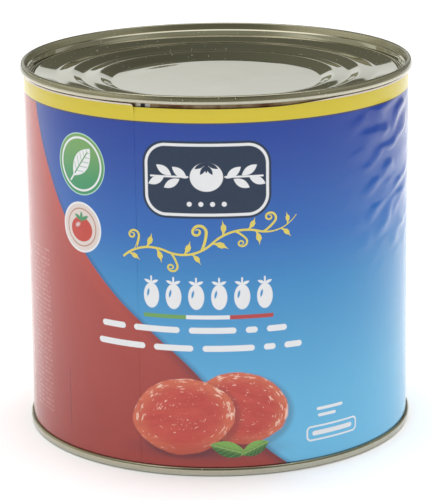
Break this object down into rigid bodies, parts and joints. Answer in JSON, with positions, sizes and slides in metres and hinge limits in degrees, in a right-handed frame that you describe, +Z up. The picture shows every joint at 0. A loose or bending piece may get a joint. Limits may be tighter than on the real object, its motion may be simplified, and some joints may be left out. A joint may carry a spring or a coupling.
{
  "type": "tin of tomatoes",
  "caption": "Large round food tin, closed by a ringed metal end in a double seam at top and bottom, with a wrap-round printed paper label.",
  "frame": {"origin": "centre of the circle that the lower seam stands on", "axes": "+Z up along the tin's axis, the front of the label towards -Y"},
  "size_m": [0.1572, 0.1572, 0.15],
  "materials": {
    "end_tinplate": "bright rolled tinplate, softly mirrored, fine brush marks on the seams",
    "body_tinplate": "lacquered tinplate, slightly golden",
    "label_paper": "gloss-coated printed paper with fine ripples"
  },
  "bodies": {
    "root": {"tin_body": "body_tinplate", "top_end": "end_tinplate", "bottom_end": "end_tinplate", "paper_label": "label_paper"}
  },
  "joints": []
}
